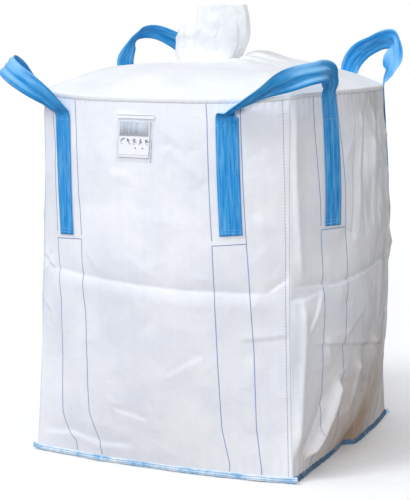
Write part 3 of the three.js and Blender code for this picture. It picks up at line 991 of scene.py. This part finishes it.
def sewn_leg_stitches(boxes, side, foot, head, bottom, top):
    """Three rows up a leg, two across its foot and one across its head."""
    a, z = leg_places(foot, head, bottom, min(top, 1.16))
    outward = bare_side(side, a, z)[1]
    lift = LEG_LIFT + WEBBING / 2 + 0.0002
    edge = 0.029
    for offset in (-edge, 0.004, edge):
        boxes.row(cloth(side, a + offset, z, lift), outward, 0.008, 0.7, 0.001, 0.0007)
    for height in (bottom + 0.008, bottom + 0.018, LEG_HEAD - 0.012):
        b = np.interp(height, z, a) + np.linspace(-edge, edge, 8)
        points, outward = cloth(side, b, height, lift), bare_side(side, b, np.full(8, height))[1]
        boxes.row(points, outward, 0.007, 0.75, 0.0013, 0.0008)


def lifting_loop(name, seed):
    legs, *rows = LOOPS[name]
    centres, edges = loop_line(legs, rows)
    cup = strap_creases(seed, [top - bottom for *place, bottom, top in legs])
    band = ribbon(f"{name}_loop", centres, edges, WEBBING_WIDTH, WEBBING, BLUE_WEBBING, 16, cup)
    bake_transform(band)
    sewn = [f"loop_{name}_leg_{SIDE_NAMES[leg[0]]}" for leg in legs]
    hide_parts(*sewn, f"loop_{name}_strap")
    boxes = Boxes()
    for leg in legs:
        sewn_leg_stitches(boxes, *leg)
    boxes.build(f"{name}_loop_stitching", PALE_THREAD)


for seed, name in enumerate(LOOPS):
    lifting_loop(name, seed + 3)

# ---- spout

# Height, centre x, half width, half depth of the crumpled tube in mm, from the top panel up.
SPOUT_RIMS = (
    (1256, -30, 104, 79),
    (1270, -38, 104, 66),
    (1290, -36, 112, 54),
    (1320, -27, 122, 50),
    (1355, -20, 129, 52),
    (1390, -18, 129, 50),
    (1420, -17, 127, 46),
    (1450, -19, 122, 40),
)


def spout():
    rims = spline(np.array(SPOUT_RIMS) / 1000, 90)
    around = np.arange(260) / 260 * 2 * math.pi
    t = np.linspace(0, 1, len(rims))[:, None]
    z, cx, rx, ry = rims.T[..., None]
    c, s = np.cos(around)[None, :], np.sin(around)[None, :]
    loose = smooth(t * 3)
    pleat = 0.003 * np.sin(around * 5 + 2.2 * np.sin(around * 2 + 2 * t) + 1.5 * t) * (0.35 + loose)
    pleat = pleat + 0.0015 * np.sin(around * 13 + 4 * t + 1.2 * np.sin(around * 5))
    grow = 1 + pleat / 0.07
    x = cx + rx * np.sign(c) * np.abs(c) ** 0.85 * grow
    y = ry * np.sign(s) * np.abs(s) ** 0.9 * grow
    y = y + 0.009 * loose * np.sin(x * 24 + 2.0 * t)
    z = z + 0 * x
    crumples = crumple(x + y * 0.7, z, 17, 110, 0.06, 0.002, 0.6, (-0.15, 0.15, 1.26, 1.45))
    y = y + crumples * np.sign(s)
    left = smooth((-0.058 - x) / 0.016)
    fall = 0.056 + 0.3 * np.clip(-0.07 - x, 0, 1)
    z = z - fall * left * smooth((z - 1.33) / 0.12)
    y = y + 0.01 * left * smooth((z - 1.29) / 0.05)
    points = np.stack([x, y, z + 0.002 * np.sin(around * 5)[None, :] * loose], -1)
    uv = np.stack([around * 0.09 + 0 * z, z], -1)
    made = grid_sheet("filling_spout", points, uv, SPOUT_CLOTH, wrap=True, thickness=0.0006)
    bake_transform(made)
    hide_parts("spout_collar", "spout_tube")


spout()

# ---- document pouch

POUCH_WIDTH, POUCH_HEIGHT = 0.128, 0.132
PEN = 0.0016  # width of the strokes of the printed marks


class PouchPlane:
    """The flat, slightly tilted plane that the pouch hangs in."""

    def __init__(self):
        self.origin, outward = bare_side(FRONT, POUCH_MIDDLE, POUCH_TOP)
        foot, _ = bare_side(FRONT, POUCH_MIDDLE, POUCH_TOP - POUCH_HEIGHT)
        self.down = unit(foot - self.origin)
        self.right = np.array([-outward[1], outward[0], 0.0])
        self.out = np.cross(self.down, self.right)

    def at(self, x, y, lift):
        """x right of the pouch's middle, y down from its top edge."""
        x, y, lift = (k[..., None] for k in np.broadcast_arrays(x, y, lift))
        return self.origin + self.right * x + self.down * y + self.out * lift


def pouch():
    plane = PouchPlane()

    def film(name, width, height, drop, lift, finish, thickness, billow, seed):
        x = np.linspace(-width / 2, width / 2, 40)[None, :]
        y = np.linspace(drop, drop + height, 42)[:, None]
        inner = np.clip(1 - (2 * x / width) ** 2, 0, 1) * smooth((y - drop) / 0.04)
        x, y = np.broadcast_arrays(x, y)
        rise = lift + billow * inner + swell(x, y, seed, 0.07, billow * 0.35) * inner
        uv = np.stack([x, y], -1)
        return grid_sheet(name, plane.at(x, y, rise), uv, finish, thickness=thickness, flip=True)

    for part, gap, lift, billow, seed in (("back", 0.0, 0.0016, 0.0, 5), ("front", 0.004, 0.003, 0.001, 6)):
        height = POUCH_HEIGHT - gap
        piece = film(f"pouch_{part}_sheet", POUCH_WIDTH, height, gap, lift, FILM, 0.0003, billow, seed)
        belongs(piece, "document_pouch", "pouch_film", f"pouch_{part}_film")
    card = film("printed_card", 0.106, 0.112, 0.006, 0.0022, CARD, 0.0004, 0.0, 7)
    belongs(card, "label_card", "label_paper", "label_card")

    def mark(boxes, x0, y0, width, height, lift=0.0023):
        """A printed block, placed from the card's top left corner."""
        x0, y0 = x0 - 0.053, y0 + 0.006
        corners = ((x0, y0), (x0 + width, y0), (x0 + width, y0 + height), (x0, y0 + height))
        boxes.plate([plane.at(x, y, lift) for x, y in corners], plane.out, 0.0002)

    pale, grey, dark = Boxes(), Boxes(), Boxes()
    mark(pale, 0.001, 0.001, 0.101, 0.046)
    draw = np.random.default_rng(21)
    x = 0.014
    while x < 0.062:
        width = draw.uniform(0.0015, 0.0045)
        mark(grey, x, 0.005, width, 0.036, 0.0025)
        x += width + draw.uniform(0.0015, 0.005)
    mark(grey, 0.002, 0.1035, 0.102, 0.001)
    draw = np.random.default_rng(12)
    for k in range(5):
        x, y = 0.006 + k * 0.021, 0.053
        for _ in range(4):
            dx, dy = draw.uniform(0, 0.008), draw.uniform(0, 0.018)
            length = draw.uniform(0.004, 0.009)
            mark(dark, x + dx, y + dy, length, PEN)
            mark(dark, x + dy * 0.4, y + dx, PEN, length)
    for x in (0.056, 0.082):
        mark(dark, x, 0.081, 0.004, 0.004)
    pale.build("card_print_pale", PALE_INK, "label_card")
    grey.build("card_print_bars", GREY_INK, "label_card")
    dark.build("card_print_dark", DARK_INK, "label_card")

    strip = film("pouch_header_strip", 0.13, 0.014, -0.0145, 0.0018, CARD, 0.0008, 0.0, 8)
    belongs(strip, "bag", "pouch_film", "pouch_header")
    sewn = Boxes()
    points = plane.at(np.linspace(-0.063, 0.063, 12), -0.0105, 0.0022)
    sewn.row(points, plane.out, 0.005, 0.8, 0.0012, 0.0008)
    sewn.build("pouch_stitching", DARK_INK)
    # A weld along the pouch's right edge, drawn in dark ink as painted shadow of that edge.
    weld_shadow = Boxes()
    points = plane.at(0.0615, np.linspace(0.062, 0.131, 10), 0.0033)
    weld_shadow.row(points, plane.out, 0.007, 0.9, 0.0012, 0.0006)
    weld_shadow.build("pouch_edge_weld_shadow", DARK_INK, "document_pouch")


pouch()

# ---- bottom binding

BINDING_HEIGHT, BINDING_THICKNESS, BINDING_MIDDLE = 0.017, 0.0036, 0.0104
EAR = 0.018  # how far the tape runs on past the corner


def binding(side):
    """Folded tape along the foot of one side, waving a little.

    On the front and back it runs on into an ear past each corner.
    """
    end = half_side(0.01) - 0.001
    a = np.linspace(-end, end, 170)
    z = np.full(a.shape, 0.01)
    outward = bare_side(side, a, z)[1]
    centres = cloth(side, a, z, 0.0034)
    draw = np.random.default_rng(40 + side)
    wave = np.zeros(a.shape)
    for k in range(5):
        wave += np.sin(a * draw.uniform(12, 60) + draw.uniform(0, 6)) / 5
    centres[:, 2] = BINDING_MIDDLE + 0.001 * wave
    centres += outward * (0.0012 * wave)[:, None]
    lean = 0.25 + 0.3 * wave
    edges = outward * -lean[:, None] + UP
    if side in (FRONT, BACK):

        def ear(end, before):
            reach = unit(end - before) * EAR / 4 + UP * 0.0012
            return end + reach * np.arange(1, 5)[:, None]

        lead, tail = ear(centres[0], centres[1])[::-1], ear(centres[-1], centres[-2])
        centres = np.vstack([lead, centres, tail])
        edges = np.vstack([np.tile(edges[0], (4, 1)), edges, np.tile(edges[-1], (4, 1))])
    name = SIDE_NAMES[side]
    # The right-hand binding takes the darker copy, which is painted shade.
    finish = SHADED_TAPE if side == RIGHT else BINDING_TAPE
    made = ribbon(f"{name}_binding_tape", centres, edges, BINDING_HEIGHT, BINDING_THICKNESS, finish, 8)
    belongs(made, "bag", "binding_tape", f"bottom_binding_{name}")
    up = unit(edges)
    face = np.cross(unit(np.gradient(centres, axis=0)), up)
    face *= np.sign((face * centres)[:, :2].sum(1))[:, None]
    boxes = Boxes()
    for height in (-0.0035, 0.0035):
        boxes.row(centres + up * height + face * 0.0021, face, 0.0085, 0.78, 0.0016, 0.001)
    boxes.build(f"{name}_binding_stitches", BLUE_THREAD)


for side in range(4):
    binding(side)

# ---- floor, light, camera


def studio():
    size = 40.0
    corners = [(-size, -size, 0), (size, -size, 0), (size, size, 0), (-size, size, 0)]
    finish = speckled("pale_floor", "F7F7F7", "FBFBFB", 30.0, grain=0.5, roughness=0.9)
    floor = new_object("floor", corners, [(0, 1, 2, 3)], finish)
    floor.visible_diffuse = False

    # The sky is white to the camera; as a light it is cool from the upper front left
    # and dimmer and warmer from below and behind.
    world = bpy.data.worlds.new("studio")
    bpy.context.scene.world = world
    world.use_nodes = True
    f = Nodes(world.node_tree)
    toward = f.tree.nodes.new("ShaderNodeVectorMath")
    toward.operation = "DOT_PRODUCT"
    toward.inputs[1].default_value = Vector((-0.35, -0.45, 0.82)).normalized()
    f.feed(toward.inputs[0], f.node("ShaderNodeTexCoord").outputs["Generated"])
    fade = f.span(toward.outputs["Value"], -0.9, 0.9)
    background = f.tree.nodes["Background"]
    shades = f.mix(fade, (0.345, 0.302, 0.266, 1.0), (0.47, 0.495, 0.55, 1.0))
    f.feed(background.inputs["Color"], shades)
    seen = f.node("ShaderNodeBackground", Color=(1.0, 1.0, 1.0, 1.0))
    choice = f.node("ShaderNodeMixShader", Fac=f.node("ShaderNodeLightPath").outputs["Is Camera Ray"])
    f.feed(choice.inputs[1], background.outputs[0])
    f.feed(choice.inputs[2], seen.outputs[0])
    f.feed(f.tree.nodes["World Output"].inputs["Surface"], choice.outputs[0])

    def sun(name, toward, strength, spread, tint):
        light = bpy.data.lights.new(name, "SUN")
        light.energy = strength
        light.angle = math.radians(spread)
        light.color = tint
        link(name, light).rotation_euler = Vector(toward).to_track_quat("Z", "Y").to_euler()

    sun("overhead_light", (-0.1, -0.1, 1.0), 0.95, 50, (1.0, 1.0, 1.0))
    sun("key_light", (-0.45, -0.55, 0.75), 1.05, 20, (0.96, 0.98, 1.0))
    sun("front_light", (0.3, -0.9, 0.3), 1.2, 16, (1.0, 0.995, 0.98))

    camera = bpy.data.cameras.new("camera")
    camera.lens = 106.776
    made = link("camera", camera)
    made.location = Vector((2.0395, -4.5301, 1.387))
    aim = Vector((-0.0427, -0.0197, 0.631)) - made.location
    made.rotation_euler = aim.to_track_quat("-Z", "Y").to_euler()
    bpy.context.scene.camera = made
    bpy.context.scene.view_settings.view_transform = "Standard"


studio()
